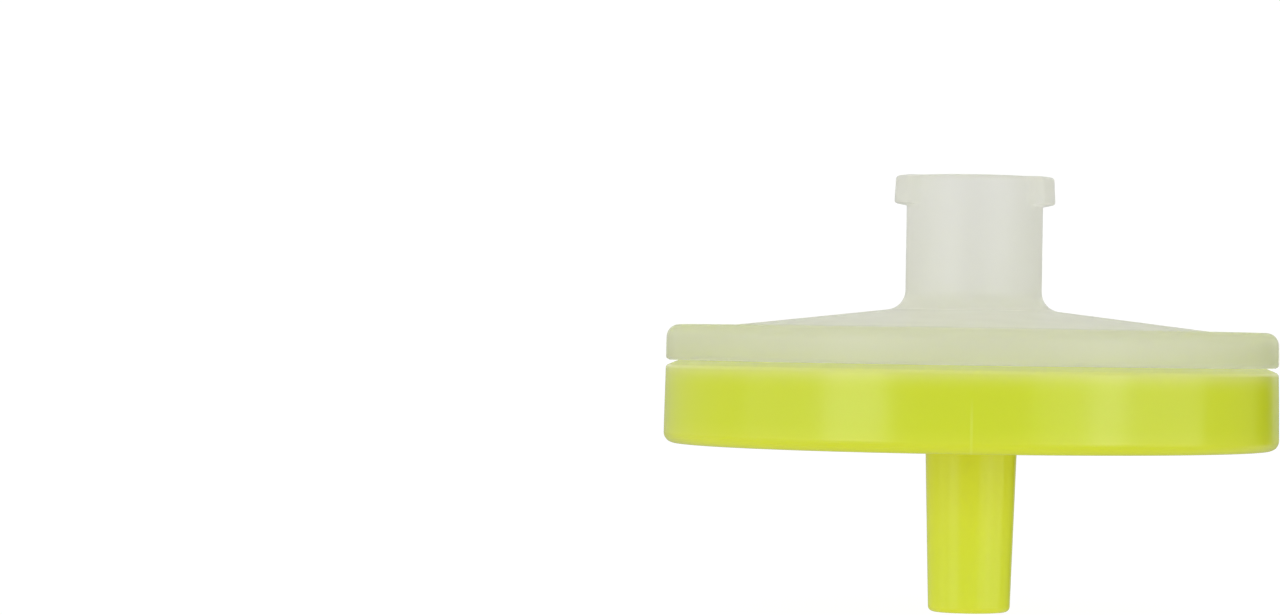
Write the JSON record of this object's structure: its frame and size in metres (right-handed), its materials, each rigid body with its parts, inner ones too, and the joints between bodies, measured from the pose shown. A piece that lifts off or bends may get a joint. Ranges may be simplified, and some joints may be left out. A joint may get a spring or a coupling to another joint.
{
  "type": "syringe filter",
  "caption": "Disc-shaped syringe filter: clear natural inlet shell with a Luer lock hub, a clamped white membrane, and a lime green outlet shell with a Luer slip nozzle.",
  "frame": {"origin": "centre of the end face of the outlet nozzle's tip", "axes": "+Z along the flow axis, from the outlet tip up to the mouth of the inlet hub; the two lock lugs point along +X and -X"},
  "size_m": [0.0298, 0.0298, 0.021],
  "materials": {
    "natural_polypropylene": "moulded, satin, milky translucent",
    "membrane_white": "matt, opaque",
    "lime_polypropylene": "moulded, satin, tinted translucent"
  },
  "bodies": {
    "root": {"inlet_shell": "natural_polypropylene", "membrane": "membrane_white", "outlet_shell": "lime_polypropylene"}
  },
  "joints": []
}
